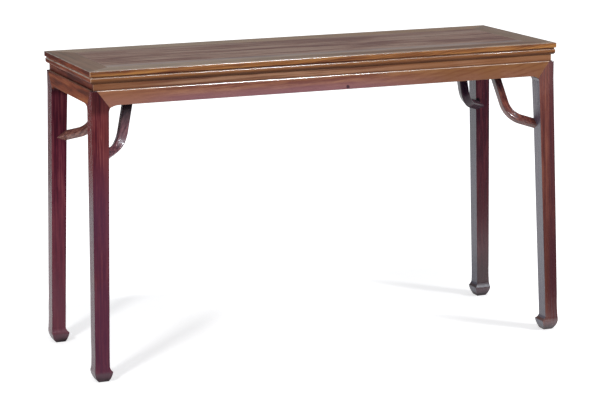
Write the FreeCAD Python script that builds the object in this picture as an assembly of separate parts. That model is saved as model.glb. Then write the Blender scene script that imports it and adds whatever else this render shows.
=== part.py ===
import FreeCAD, Part
import math
import os

os.makedirs("parts", exist_ok=True)
Vector = FreeCAD.Vector

# Waisted corner-leg altar table, in millimetres. It stands on z = 0, its front faces -Y,
# its length runs along X, and the origin is the middle of the floor under it.

# The whole table
table_height = 850.0
top_length = 1390.0
top_width = 468.0

# Top frame: four mitred rails with a two-band moulded edge
frame_thickness = 34.0
rail_width = 70.0
edge_round = 1.5
upper_band_height = 14.2
quirk_setback = 4.5
quirk_height = 4.0
lower_band_setback = 2.2
lower_band_round = 4.6
ovolo_height = 8.0
ovolo_setback = 9.5
panel_groove_depth = 10.0
corner_tenon_height = 8.0
corner_tenon_near = 42.0
corner_tenon_far = 60.0
corner_tenon_length = 45.0

# Floating panel, flush with the frame
panel_thickness = 15.0
panel_tongue_height = 7.0
panel_tongue_length = 9.0
panel_gap = 0.4

# Cross battens under the panel
batten_width = 32.0
batten_depth = 26.0
inner_batten_offset = 180.0
batten_key_height = 5.0
batten_key_root = 15.0
batten_key_tip = 20.0
batten_tenon_width = 20.0
batten_tenon_height = 9.0
batten_tenon_drop = 7.0
batten_tenon_length = 20.0

# Waist strips
waist_height = 19.0
waist_setback = 11.0
waist_thickness = 13.0
waist_tongue = 3.0

# Aprons
apron_height = 41.0
apron_setback = 4.5
apron_round = 2.5
apron_lower_round = 1.2
corner_reach = 26.0
corner_drop = 7.0
mitre_start = 15.0

# Legs: tapered on the inner faces, splayed a little, with inward hoof feet
leg_head_width = 46.5
leg_ankle_width = 39.5
corner_step = 3.5
corner_fall = 12.0
leg_splay = 14.0
leg_arris_ease = 1.3
bulge_start_height = 105.0
foot_bulge = 2.0
foot_height = 39.0
toe_inset = 10.0
sole_width = 28.0
hoof_tip_reach = 8.5
hoof_tip_height = 28.5
ankle_height = 43.0
long_tenon_height = 20.0
short_tenon_height = 9.0
leg_tenon_width = 11.0
leg_tenon_near = 28.5
leg_tenon_far = 47.0
key_depth = 6.0
key_root = 8.0
key_tip = 12.0

# Curved braces between the legs and the outer battens
brace_width = 22.0
brace_round = 3.0
brace_spread_share = 1.23
brace_drop = 197.0
brace_plan_angle = 38.0
brace_start_angle = 14.0
brace_rise_angle = 71.5
brace_top_angle = 56.0
brace_start_length = 38.0
brace_radius = 71.0
brace_top_radius = 80.0
brace_head_length = 42.0
brace_bury = 24.0
brace_tenon_width = 9.0
brace_tenon_length = 20.0
brace_tenon_rise = 4.0
brace_tenon_hook = 9.0
brace_tenon_fall = 5.0
brace_tenon_taper = 2.0
brace_tenon_root = 12.0
wedge_base = 11.0
wedge_recess = 8.0
brace_top_tenon_width = 12.0
brace_top_tenon_height = 14.0
pin_radius = 3.0

# Fits and cuts
fit_clearance = 0.1
pick_tolerance = 0.01
overrun = 20.0

# Shares of a chord by which an arc stands off it
quarter_bow_share = math.tan(math.pi / 8) / 2
apron_corner_bow_share = math.tan(math.atan(corner_drop / corner_reach) / 2) / 2
leg_corner_bow_share = math.tan(math.atan(corner_step / corner_fall) / 2) / 2
taper_bow_share = 0.002
toe_bow_share = 0.12
bulge_bow_share = 0.01
heel_bow_share = 0.04
lip_bow_share = 0.1

# Levels and places that follow from the sizes above
half_length = top_length / 2
half_width = top_width / 2
frame_bottom = table_height - frame_thickness
apron_top = frame_bottom - waist_height
apron_bottom = apron_top - apron_height
panel_bottom = table_height - panel_thickness
batten_bottom = panel_bottom - batten_depth
brace_leg_height = batten_bottom - brace_drop
leg_plane_x = half_length - apron_setback
leg_plane_y = half_width - apron_setback
apron_thickness = waist_setback + waist_thickness - apron_setback
head_edge = leg_head_width + corner_step
corner_level = apron_bottom - corner_drop
taper_top = corner_level - corner_fall


def outline_face(points, place):
    """Flat face from points taken anticlockwise: (a, b), or (a, b, bow) where an arc leaves.

    The bow is the share of the chord by which the arc stands out of the outline.
    """
    edges = []
    for index, start in enumerate(points):
        end = points[(index + 1) % len(points)]
        first = place(start[0], start[1])
        last = place(end[0], end[1])
        if len(start) > 2:
            middle_a = (start[0] + end[0]) / 2 + (end[1] - start[1]) * start[2]
            middle_b = (start[1] + end[1]) / 2 - (end[0] - start[0]) * start[2]
            edges.append(Part.Arc(first, place(middle_a, middle_b), last).toShape())
        else:
            edges.append(Part.LineSegment(first, last).toShape())
    return Part.Face(Part.Wire(edges))


def block(low, high):
    """Box between two corners given as (x, y, z)."""
    size = [high[axis] - low[axis] for axis in range(3)]
    return Part.makeBox(size[0], size[1], size[2], Vector(*low))


def corner_block(low, high):
    """Box in the front left corner, measured inwards from the edges of the top."""
    return block((low[0] - half_length, low[1] - half_width, low[2]),
                 (high[0] - half_length, high[1] - half_width, high[2]))


def flip_x(shape):
    return shape.mirror(Vector(0, 0, 0), Vector(1, 0, 0))


def flip_y(shape):
    return shape.mirror(Vector(0, 0, 0), Vector(0, 1, 0))


def both_ends(shape):
    return [shape, flip_x(shape)]


def both_sides(shape):
    return [shape, flip_y(shape)]


def four_corners(shape):
    return both_ends(shape) + both_ends(flip_y(shape))


def cut_all(shape, tools):
    for tool in tools:
        shape = shape.cut(tool)
    return shape


def fuse_all(shape, others):
    for other in others:
        shape = shape.fuse(other)
    return shape.removeSplitter()


def rail_outline():
    """Section of a rail: distance in from the outer edge, and height."""
    band_bottom = table_height - upper_band_height
    quirk_bottom = band_bottom - quirk_height
    return [
        (rail_width, table_height),
        (edge_round, table_height, quarter_bow_share),
        (0, table_height - edge_round),
        (0, band_bottom + edge_round, quarter_bow_share),
        (edge_round, band_bottom),
        (quirk_setback, band_bottom),
        (quirk_setback, quirk_bottom, quarter_bow_share),
        (lower_band_setback, quirk_bottom - lower_band_round),
        (lower_band_setback, frame_bottom + ovolo_height, quarter_bow_share),
        (ovolo_setback, frame_bottom),
        (rail_width, frame_bottom),
    ]


def waist_ring(setback, thickness, bottom, top):
    """Upright band that runs all round at one distance in from the edges of the top."""
    outer = block((setback - half_length, setback - half_width, bottom),
                  (half_length - setback, half_width - setback, top))
    inner_setback = setback + thickness
    inner = block((inner_setback - half_length, inner_setback - half_width, bottom - overrun),
                  (half_length - inner_setback, half_width - inner_setback, top + overrun))
    return outer.cut(inner)


def mitre_wedge_front(depth, bottom, top):
    """Plan trapezium of the front side, mitred at both corners, as deep as asked."""
    corners = [
        Vector(-half_length, -half_width, bottom),
        Vector(half_length, -half_width, bottom),
        Vector(half_length - depth, depth - half_width, bottom),
        Vector(depth - half_length, depth - half_width, bottom),
    ]
    face = Part.Face(Part.makePolygon(corners + corners[:1]))
    return face.extrude(Vector(0, 0, top - bottom))


def mitre_wedge_left(depth, bottom, top):
    """Plan trapezium of the left side, mitred at both corners, as deep as asked."""
    corners = [
        Vector(-half_length, -half_width, bottom),
        Vector(-half_length, half_width, bottom),
        Vector(depth - half_length, half_width - depth, bottom),
        Vector(depth - half_length, depth - half_width, bottom),
    ]
    face = Part.Face(Part.makePolygon(corners + corners[:1]))
    return face.extrude(Vector(0, 0, top - bottom))


def corner_tenon(clearance):
    """Tenon of the front rail that runs into the left end rail."""
    middle = frame_bottom + frame_thickness / 2
    half_height = corner_tenon_height / 2 + clearance
    tip = corner_tenon_far - corner_tenon_length - clearance
    return corner_block((tip, corner_tenon_near - clearance, middle - half_height),
                        (corner_tenon_far, corner_tenon_far + clearance, middle + half_height))


def leg_tenon_long(clearance):
    """Tenon on the front left leg that enters the front rail."""
    return corner_block((leg_tenon_far - clearance, leg_tenon_near - clearance, frame_bottom),
                        (leg_tenon_far + leg_tenon_width + clearance,
                         leg_tenon_near + leg_tenon_width + clearance,
                         frame_bottom + long_tenon_height + clearance))


def leg_tenon_short(clearance):
    """Tenon on the front left leg that enters the left end rail."""
    return corner_block((leg_tenon_near - clearance, leg_tenon_far - clearance, frame_bottom),
                        (leg_tenon_near + leg_tenon_width + clearance,
                         leg_tenon_far + leg_tenon_width + clearance,
                         frame_bottom + short_tenon_height + clearance))


def panel_groove():
    """Groove for the panel's tongue, all round the inside of the frame."""
    reach = rail_width - panel_groove_depth
    return block((reach - half_length, reach - half_width, panel_bottom - fit_clearance),
                 (half_length - reach, half_width - reach,
                  panel_bottom + panel_tongue_height + fit_clearance))


def batten_tenons(place_x, clearance):
    """Both end tenons of one batten, as one bar from tip to tip."""
    half_bar = batten_tenon_width / 2 + clearance
    top = panel_bottom - batten_tenon_drop + clearance
    bottom = top - batten_tenon_height - 2 * clearance
    tip = half_width - rail_width + batten_tenon_length + clearance
    return block((place_x - half_bar, -tip, bottom), (place_x + half_bar, tip, top))


def brace_path_points():
    """Centre line of a brace in its own upright plane: distance out of the leg, and height."""
    start = math.radians(brace_start_angle)
    rise = math.radians(brace_rise_angle)
    top = math.radians(brace_top_angle)
    points = [(-brace_bury * math.cos(start), brace_leg_height - brace_bury * math.sin(start))]
    straight = (brace_start_length * math.cos(start),
                brace_leg_height + brace_start_length * math.sin(start))
    points.append(straight)

    def turn(origin, radius, before, after, share):
        now = before + (after - before) * share
        return (origin[0] + radius * (math.sin(now) - math.sin(before)),
                origin[1] + radius * (math.cos(before) - math.cos(now)))

    for share in (0.5, 1):
        points.append(turn(straight, brace_radius, start, rise, share))
    head = brace_top_radius * (math.cos(top) - math.cos(rise)) + brace_head_length * math.sin(top)
    climb = batten_bottom - head - points[-1][1]
    risen = (points[-1][0] + climb / math.tan(rise), points[-1][1] + climb)
    points.append(risen)
    for share in (0.5, 1):
        points.append(turn(risen, -brace_top_radius, rise, top, share))
    left = batten_bottom + overrun - points[-1][1]
    points.append((points[-1][0] + left / math.tan(top), points[-1][1] + left))
    return points


def leg_inner_edge(height):
    """Distance from the leg's upper outer plane in to its inner face, at a height.

    The slight hollow of the face is left out.
    """
    along = (taper_top - height) / (taper_top - ankle_height)
    return leg_head_width + (leg_ankle_width - leg_splay - leg_head_width) * along


def brace_place(distance, height):
    """Point of the front left brace: distance out of the leg in plan, and height."""
    inner = leg_inner_edge(brace_leg_height)
    angle = math.radians(brace_plan_angle)
    return Vector(inner - leg_plane_x + distance * math.cos(angle),
                  inner - leg_plane_y + distance * math.sin(angle), height)


def brace_top_distance():
    """How far out of the leg the centre line is where it reaches the batten."""
    before, end = brace_path_points()[-2:]
    share = (batten_bottom - before[1]) / (end[1] - before[1])
    return before[0] + (end[0] - before[0]) * share


def outer_batten_place():
    return brace_place(brace_top_distance(), 0).x


def brace_slab(points, width):
    """Flat plate in the brace's upright plane, from an outline, centred on that plane."""
    face = outline_face(points, brace_place)
    angle = math.radians(brace_plan_angle)
    side = Vector(-math.sin(angle), math.cos(angle), 0)
    face.translate(side * (-width / 2))
    return face.extrude(side * width)


def brace_mortise():
    """Hole for the hooked tenon and its wedge in the front left leg."""
    back = -brace_tenon_length - fit_clearance
    mouth = overrun
    level = brace_leg_height
    hook = level + brace_tenon_hook + fit_clearance
    rise = level + brace_tenon_rise + fit_clearance
    base = level - wedge_base
    outline = [(back, base), (mouth, base), (mouth, rise), (0, rise), (back, hook)]
    return brace_slab(outline, brace_tenon_width + 2 * fit_clearance)


def brace_tenon():
    """Hooked tenon at the foot of the front left brace, held up by a wedge under it."""
    level = brace_leg_height
    outline = [
        (-brace_tenon_length, level - brace_tenon_fall - brace_tenon_taper),
        (0, level - brace_tenon_fall),
        (brace_tenon_root, level - brace_tenon_fall),
        (brace_tenon_root, level + brace_tenon_rise),
        (0, level + brace_tenon_rise),
        (-brace_tenon_length, level + brace_tenon_hook),
    ]
    return brace_slab(outline, brace_tenon_width)


def brace_wedge():
    """Wedge under the hooked tenon of the front left brace."""
    level = brace_leg_height
    base = level - wedge_base
    fall = brace_tenon_fall + brace_tenon_taper * wedge_recess / brace_tenon_length
    outline = [
        (-brace_tenon_length, base),
        (-wedge_recess, base),
        (-wedge_recess, level - fall),
        (-brace_tenon_length, level - brace_tenon_fall - brace_tenon_taper),
    ]
    return brace_slab(outline, brace_tenon_width)


def brace_top_tenon(clearance):
    """Upright tenon at the head of the front left brace."""
    centre = brace_place(brace_top_distance(), batten_bottom)
    half = brace_top_tenon_width / 2 + clearance
    return block((centre.x - half, centre.y - half, centre.z),
                 (centre.x + half, centre.y + half,
                  centre.z + brace_top_tenon_height + clearance))


def brace_pin(radius, length):
    """Pin through the front left brace's upper tenon and the batten, along X."""
    centre = brace_place(brace_top_distance(), batten_bottom + brace_top_tenon_height / 2)
    start = Vector(centre.x - length / 2, centre.y, centre.z)
    return Part.makeCylinder(radius, length, start, Vector(1, 0, 0))


def front_rail():
    face = outline_face(rail_outline(), lambda a, z: Vector(-half_length, a - half_width, z))
    rail = face.extrude(Vector(top_length, 0, 0))
    rail = rail.common(mitre_wedge_front(rail_width, frame_bottom, table_height))
    tools = [panel_groove(), waist_ring(waist_setback, waist_thickness, frame_bottom,
                                        frame_bottom + waist_tongue)]
    tools += both_ends(leg_tenon_long(fit_clearance))
    tools += [batten_tenons(place, fit_clearance) for place in batten_places()]
    rail = cut_all(rail, tools)
    return fuse_all(rail, both_ends(corner_tenon(0)))


def left_rail():
    face = outline_face(rail_outline(), lambda a, z: Vector(a - half_length, -half_width, z))
    rail = face.extrude(Vector(0, top_width, 0))
    rail = rail.common(mitre_wedge_left(rail_width, frame_bottom, table_height))
    tools = [panel_groove(), waist_ring(waist_setback, waist_thickness, frame_bottom,
                                        frame_bottom + waist_tongue)]
    tools += both_sides(leg_tenon_short(fit_clearance))
    tools += both_sides(corner_tenon(fit_clearance))
    return cut_all(rail, tools)


def batten_places():
    outer = -outer_batten_place()
    inner = inner_batten_offset
    return [-outer, -inner, inner, outer]


def batten_key(place_x, length, clearance):
    """Dovetail key along the top of a batten."""
    root = batten_key_root / 2 + clearance
    tip = batten_key_tip / 2 + clearance
    top = panel_bottom + batten_key_height + clearance
    outline = [(place_x - root, panel_bottom), (place_x + root, panel_bottom),
               (place_x + tip, top), (place_x - tip, top)]
    face = outline_face(outline, lambda a, z: Vector(a, -length / 2, z))
    return face.extrude(Vector(0, length, 0))


def batten(place_x):
    """Batten across the underside of the panel, from rail to rail."""
    between = top_width - 2 * rail_width
    half = batten_width / 2
    bar = block((place_x - half, -between / 2, batten_bottom),
                (place_x + half, between / 2, panel_bottom))
    key = batten_key(place_x, between - 2 * panel_gap, 0)
    return fuse_all(bar, [key, batten_tenons(place_x, 0)])


def outer_batten():
    """Left outer batten, with the mortises and pin holes of two braces."""
    bar = batten(outer_batten_place())
    hole_length = batten_width + 2 * overrun
    tools = both_sides(brace_top_tenon(fit_clearance))
    tools += both_sides(brace_pin(pin_radius + fit_clearance, hole_length))
    return cut_all(bar, tools)


def top_panel():
    setback = rail_width + panel_gap
    tongue = setback - panel_tongue_length
    board = block((setback - half_length, setback - half_width, panel_bottom),
                  (half_length - setback, half_width - setback, table_height))
    lip = block((tongue - half_length, tongue - half_width, panel_bottom),
                (half_length - tongue, half_width - tongue, panel_bottom + panel_tongue_height))
    panel = fuse_all(board, [lip])
    tools = [batten_key(place, top_width, fit_clearance) for place in batten_places()]
    return cut_all(panel, tools)


def waist_strips():
    """Front and left waist strips, mitred at the corners."""
    bottom = apron_top - waist_tongue
    top = frame_bottom + waist_tongue
    ring = waist_ring(waist_setback, waist_thickness, bottom, top)
    return ring.common(mitre_wedge_front(half_width, bottom, top)), ring.common(
        mitre_wedge_left(half_width, bottom, top))


def apron_outline(reach):
    """Elevation of an apron whose leg planes stand at plus and minus reach."""
    return [
        (mitre_start - reach, apron_top),
        (head_edge - reach, corner_level, -apron_corner_bow_share),
        (head_edge + corner_reach - reach, apron_bottom),
        (reach - head_edge - corner_reach, apron_bottom, -apron_corner_bow_share),
        (reach - head_edge, corner_level),
        (reach - mitre_start, apron_top),
    ]


def apron_section():
    """Section of an apron: distance in from its outer face, and height."""
    return [
        (0, corner_level - overrun),
        (apron_thickness, corner_level - overrun),
        (apron_thickness, apron_top),
        (apron_round, apron_top, quarter_bow_share),
        (0, apron_top - apron_round),
    ]


def hanging_key(clearance):
    """Upright dovetail key on the front left leg, behind the front apron."""
    middle = (apron_thickness + head_edge) / 2 - leg_plane_x
    root = key_root / 2 + clearance
    tip = key_tip / 2 + clearance
    back = apron_thickness - leg_plane_y
    front = back - key_depth - clearance
    bottom = corner_level
    top = apron_top - waist_tongue
    outline = [(middle - root, back), (middle + root, back), (middle + tip, front),
               (middle - tip, front)]
    face = outline_face(outline, lambda a, b: Vector(a, b, bottom))
    return face.extrude(Vector(0, 0, top - bottom))


def turn_to_left(shape):
    """Swap X and Y about the front left leg's corner."""
    moved = shape.translated(Vector(leg_plane_x, leg_plane_y, 0))
    swapped = moved.mirror(Vector(0, 0, 0), Vector(1, -1, 0))
    return swapped.translated(Vector(-leg_plane_x, -leg_plane_y, 0))


def edges_on(shape, span, plane):
    """Edges of an apron's lower outer arris, on its outer face and below its mitres."""
    chosen = []
    for edge in shape.Edges:
        low, high = span(edge.BoundBox)
        on_face = abs(low - plane) < pick_tolerance and abs(high - plane) < pick_tolerance
        if on_face and edge.BoundBox.ZMax < apron_bottom + pick_tolerance:
            chosen.append(edge)
    return chosen


def front_apron():
    face = outline_face(apron_outline(leg_plane_x), lambda a, z: Vector(a, -leg_plane_y, z))
    board = face.extrude(Vector(0, apron_thickness, 0))
    section = outline_face(apron_section(), lambda a, z: Vector(-half_length, a - leg_plane_y, z))
    board = board.common(section.extrude(Vector(top_length, 0, 0)))
    lower_edges = edges_on(board, lambda box: (box.YMin, box.YMax), -leg_plane_y)
    board = board.makeFillet(apron_lower_round, lower_edges)
    board = board.common(leg_wedge(mitre_wedge_front))
    tools = [waist_ring(waist_setback, waist_thickness, apron_top - waist_tongue, apron_top)]
    tools += both_ends(hanging_key(fit_clearance))
    return cut_all(board, tools)


def left_apron():
    face = outline_face(apron_outline(leg_plane_y), lambda a, z: Vector(-leg_plane_x, a, z))
    board = face.extrude(Vector(apron_thickness, 0, 0))
    section = outline_face(apron_section(), lambda a, z: Vector(a - leg_plane_x, -half_width, z))
    board = board.common(section.extrude(Vector(0, top_width, 0)))
    lower_edges = edges_on(board, lambda box: (box.XMin, box.XMax), -leg_plane_x)
    board = board.makeFillet(apron_lower_round, lower_edges)
    board = board.common(leg_wedge(mitre_wedge_left))
    tools = [waist_ring(waist_setback, waist_thickness, apron_top - waist_tongue, apron_top)]
    tools += both_sides(turn_to_left(hanging_key(fit_clearance)))
    return cut_all(board, tools)


def leg_wedge(wedge):
    """Mitre wedge deep enough for an apron."""
    return wedge(half_width, corner_level - overrun, apron_top)


def leg_outline():
    """Elevation of a leg below the waist: distance in from its upper outer plane, and height."""
    sole = toe_inset - leg_splay
    return [
        (0, apron_top),
        (0, corner_level),
        (-leg_splay, bulge_start_height, -bulge_bow_share),
        (-leg_splay - foot_bulge, foot_height, toe_bow_share),
        (sole, 0),
        (sole + sole_width, 0, heel_bow_share),
        (leg_ankle_width - leg_splay + hoof_tip_reach, hoof_tip_height, -lip_bow_share),
        (leg_ankle_width - leg_splay, ankle_height, -taper_bow_share),
        (leg_head_width, taper_top, -leg_corner_bow_share),
        (head_edge, corner_level),
        (head_edge, apron_top),
    ]


def outer_arris(shape):
    """Edges along a leg's outer corner, from the shoulder to the sole."""
    chosen = []
    for edge in shape.Edges:
        box = edge.BoundBox
        in_x = (box.XMin + box.XMax) / 2 + leg_plane_x
        in_y = (box.YMin + box.YMax) / 2 + leg_plane_y
        if max(in_x, in_y) < sole_width / 2 and box.ZLength > leg_arris_ease:
            chosen.append(edge)
    return chosen


def shoulder_cut():
    """What the rounded upper edge of the aprons takes off the front of a leg's shoulder."""
    level = apron_top - apron_round
    outline = [
        (-overrun, level),
        (0, level, -quarter_bow_share),
        (apron_round, apron_top),
        (apron_round, apron_top + overrun),
        (-overrun, apron_top + overrun),
    ]
    face = outline_face(outline, lambda a, z: Vector(-half_length - overrun, a - leg_plane_y, z))
    return face.extrude(Vector(half_length, 0, 0))


def apron_seat():
    """What the front apron takes out of the front left leg, above the mitre."""
    outline = [
        (mitre_start, apron_top),
        (head_edge, corner_level),
        (head_edge + overrun, corner_level),
        (head_edge + overrun, apron_top + overrun),
        (mitre_start, apron_top + overrun),
    ]
    start = -leg_plane_y - overrun
    face = outline_face(outline, lambda a, z: Vector(a - leg_plane_x, start, z))
    return face.extrude(Vector(0, apron_thickness + overrun, 0))


def leg_without_mortise():
    """Front left leg before the hole for the brace is cut."""
    start_x = -leg_plane_x - leg_splay - overrun
    start_y = -leg_plane_y - leg_splay - overrun
    reach = head_edge + leg_splay + 2 * overrun
    across = outline_face(leg_outline(), lambda a, z: Vector(a - leg_plane_x, start_y, z))
    along = outline_face(leg_outline(), lambda a, z: Vector(start_x, a - leg_plane_y, z))
    post = across.extrude(Vector(0, reach, 0)).common(along.extrude(Vector(reach, 0, 0)))
    post = post.makeChamfer(leg_arris_ease, outer_arris(post))
    tools = [waist_ring(waist_setback, waist_thickness, apron_top - waist_tongue, apron_top)]
    for tool in (apron_seat(), shoulder_cut()):
        tools += [tool, turn_to_left(tool)]
    post = cut_all(post, tools)
    core_near = apron_setback + apron_thickness
    core_far = apron_setback + head_edge
    core = corner_block((core_near, core_near, corner_level), (core_far, core_far, frame_bottom))
    keys = [hanging_key(0), turn_to_left(hanging_key(0))]
    return fuse_all(post, [core, leg_tenon_long(0), leg_tenon_short(0)] + keys)


def brace_body():
    """Front left brace as a bent bar, a square set on its corner and spread sideways."""
    points = [brace_place(*point) for point in brace_path_points()]
    first, bend, bend_middle, bend_end, top, top_middle, top_end, last = points
    path = Part.Wire([
        Part.LineSegment(first, bend).toShape(),
        Part.Arc(bend, bend_middle, bend_end).toShape(),
        Part.LineSegment(bend_end, top).toShape(),
        Part.Arc(top, top_middle, top_end).toShape(),
        Part.LineSegment(top_end, last).toShape(),
    ])
    forward = (bend - first).normalize()
    angle = math.radians(brace_plan_angle)
    side = Vector(-math.sin(angle), math.cos(angle), 0)
    upward = side.cross(forward) * -1
    half = brace_width / 2
    inner = half - brace_round
    bow_middle = inner + brace_round * math.cos(math.pi / 4)

    def spot(a, b):
        spread = (a + b) * math.sin(math.pi / 4) * brace_spread_share
        lift = (a - b) * math.sin(math.pi / 4)
        return first + side * spread + upward * lift

    edges = []
    for sign_a, sign_b in ((1, 1), (-1, 1), (-1, -1), (1, -1)):
        ends = [spot(sign_a * half, sign_b * inner), spot(sign_a * inner, sign_b * half)]
        middle = spot(sign_a * bow_middle, sign_b * bow_middle)
        if sign_a * sign_b < 0:
            ends.reverse()
        edges.append(Part.Arc(ends[0], middle, ends[1]).toShape())
    corners = []
    for index, arc in enumerate(edges):
        corners.append(arc)
        start = arc.Vertexes[1].Point
        end = edges[(index + 1) % len(edges)].Vertexes[0].Point
        corners.append(Part.LineSegment(start, end).toShape())
    return path.makePipeShell([Part.Wire(corners)], True, False)


def brace(leg_shape):
    """Front left brace, fitted to the leg and the batten."""
    above = block((-half_length, -half_width, batten_bottom),
                  (half_length, half_width, table_height))
    body = brace_body().cut(above).cut(leg_shape)
    body = max(body.Solids, key=lambda solid: solid.Volume)
    body = fuse_all(body, [brace_tenon(), brace_top_tenon(0)])
    return body.cut(brace_pin(pin_radius + fit_clearance, batten_width + 2 * overrun))


def save(name, shape):
    shape.exportStep("parts/" + name + ".step")
    print(name, len(shape.Solids), "solids", round(shape.Volume), "mm3", shape.isValid())


def save_pair(first_name, second_name, shape, flip):
    save(first_name, shape)
    save(second_name, flip(shape))


save_pair("front_rail", "back_rail", front_rail(), flip_y)
save_pair("left_end_rail", "right_end_rail", left_rail(), flip_x)
save("top_panel", top_panel())
save_pair("batten_left_outer", "batten_right_outer", outer_batten(), flip_x)
save_pair("batten_left_inner", "batten_right_inner", batten(-inner_batten_offset), flip_x)

waist_front, waist_left = waist_strips()
save_pair("waist_front", "waist_back", waist_front, flip_y)
save_pair("waist_left", "waist_right", waist_left, flip_x)
save_pair("apron_front", "apron_back", front_apron(), flip_y)
save_pair("apron_left", "apron_right", left_apron(), flip_x)

uncut_leg = leg_without_mortise()
front_left_leg = uncut_leg.cut(brace_mortise())
front_left_brace = brace(uncut_leg)
corner_names = ["front_left", "front_right", "back_left", "back_right"]
for name, leg_shape, brace_shape in zip(corner_names, four_corners(front_left_leg),
                                        four_corners(front_left_brace)):
    save("leg_" + name, leg_shape)
    save("brace_" + name, brace_shape)
save("brace_wedges", Part.makeCompound(four_corners(brace_wedge())))
save("brace_pins", Part.makeCompound(four_corners(brace_pin(pin_radius, batten_width))))
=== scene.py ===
import math

import bmesh
import bpy
from mathutils import Matrix, Vector


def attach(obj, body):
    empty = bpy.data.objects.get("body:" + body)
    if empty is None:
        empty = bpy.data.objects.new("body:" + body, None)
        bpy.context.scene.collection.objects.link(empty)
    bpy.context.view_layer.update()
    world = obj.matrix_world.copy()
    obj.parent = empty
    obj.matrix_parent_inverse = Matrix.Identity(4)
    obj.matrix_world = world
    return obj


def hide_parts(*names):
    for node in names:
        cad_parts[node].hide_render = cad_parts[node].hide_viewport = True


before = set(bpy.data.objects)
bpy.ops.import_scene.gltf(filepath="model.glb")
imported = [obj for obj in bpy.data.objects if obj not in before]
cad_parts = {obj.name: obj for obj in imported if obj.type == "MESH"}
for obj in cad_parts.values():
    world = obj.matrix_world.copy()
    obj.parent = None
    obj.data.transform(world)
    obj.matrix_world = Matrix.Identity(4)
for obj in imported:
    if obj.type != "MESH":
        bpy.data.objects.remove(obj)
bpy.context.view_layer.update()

scene = bpy.context.scene
scene.view_settings.view_transform = "Standard"

# the camera stands in front of the left half of the table and looks a little down
cameraSet = {
    "place": (-2.1907, -5.5234, 1.6306),
    "turn": 0.3761,       # towards the right, radians
    "dip": 0.1923,        # below the horizon
    "roll": -0.0095,
    "lens": 125.56,
    "sensor": 36.0,
    "shift": -0.05,
    "farthest": 200.0,
}


def makeCamera(values):
    turn, dip, roll = values["turn"], values["dip"], values["roll"]
    level = math.cos(dip)
    ahead = Vector((math.sin(turn) * level, math.cos(turn) * level, -math.sin(dip)))
    side = Vector((math.cos(turn), -math.sin(turn), 0.0))
    above = side.cross(ahead)
    across = side * math.cos(roll) + above * math.sin(roll)
    upward = above * math.cos(roll) - side * math.sin(roll)
    lensData = bpy.data.cameras.new("photoCamera")
    lensData.lens = values["lens"]
    lensData.sensor_width = values["sensor"]
    lensData.shift_y = values["shift"]
    lensData.clip_end = values["farthest"]
    camera = bpy.data.objects.new("photoCamera", lensData)
    scene.collection.objects.link(camera)
    turned = Matrix((across, upward, -ahead)).transposed().to_4x4()
    camera.matrix_world = Matrix.Translation(values["place"]) @ turned
    scene.camera = camera


makeCamera(cameraSet)
print("camera placed")


# small helpers for the node trees
def addNode(tree, kind, inputs=None, **settings):
    node = tree.nodes.new(kind)
    for name, value in settings.items():
        setattr(node, name, value)
    for key, value in (inputs or {}).items():
        if isinstance(value, bpy.types.NodeSocket):
            tree.links.new(value, node.inputs[key])
        else:
            node.inputs[key].default_value = value
    return node


def calc(tree, operation, first, second=0.0, third=0.0, clamp=False):
    return addNode(tree, "ShaderNodeMath", {0: first, 1: second, 2: third},
                   operation=operation, use_clamp=clamp).outputs[0]


def times(tree, first, second, clamp=False):
    return calc(tree, "MULTIPLY", first, second, clamp=clamp)


def ramp(tree, value, low, high, start=0.0, end=1.0):
    # smooth step from start to end as value goes from low to high
    return addNode(tree, "ShaderNodeMapRange", {0: value, 1: low, 2: high, 3: start, 4: end},
                   interpolation_type="SMOOTHSTEP", clamp=True).outputs[0]


def mix(tree, factor, first, second):
    return addNode(tree, "ShaderNodeMix", {0: factor, 6: first, 7: second},
                   data_type="RGBA", clamp_factor=True).outputs[2]


def vectorCalc(tree, operation, first, second=(0.0, 0.0, 0.0), result=0):
    return addNode(tree, "ShaderNodeVectorMath", {0: first, 1: second},
                   operation=operation).outputs[result]


def scaled(tree, vector, scale):
    return vectorCalc(tree, "MULTIPLY", vector, scale)


def split(tree, vector):
    return addNode(tree, "ShaderNodeSeparateXYZ", {0: vector}).outputs


def noise(tree, vector, detail=2.0, rough=0.5, scale=1.0):
    return addNode(tree, "ShaderNodeTexNoise", {
        "Vector": vector, "Scale": scale, "Detail": detail, "Roughness": rough}).outputs


def tone(red, green, blue):
    # display colour 0 to 255 as the linear value that a socket takes
    return tuple(((c / 255 + 0.055) / 1.055) ** 2.4 if c > 10 else c / 255 / 12.92
                 for c in (red, green, blue)) + (1.0,)


def newGroup(name, inputs, outputs):
    tree = bpy.data.node_groups.new(name, "ShaderNodeTree")
    for label, kind, value in inputs:
        socket = tree.interface.new_socket(
            name=label, in_out="INPUT", socket_type="NodeSocket" + kind)
        if value is not None:
            socket.default_value = value
    for label, kind in outputs:
        tree.interface.new_socket(name=label, in_out="OUTPUT", socket_type="NodeSocket" + kind)
    return tree, tree.nodes.new("NodeGroupInput").outputs, tree.nodes.new("NodeGroupOutput")


def finishGroup(tree, sink, **results):
    for label, socket in results.items():
        tree.links.new(socket, sink.inputs[label])
    return tree


def placeGroup(tree, group, inputs):
    return addNode(tree, "ShaderNodeGroup", inputs, node_tree=group).outputs


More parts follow.
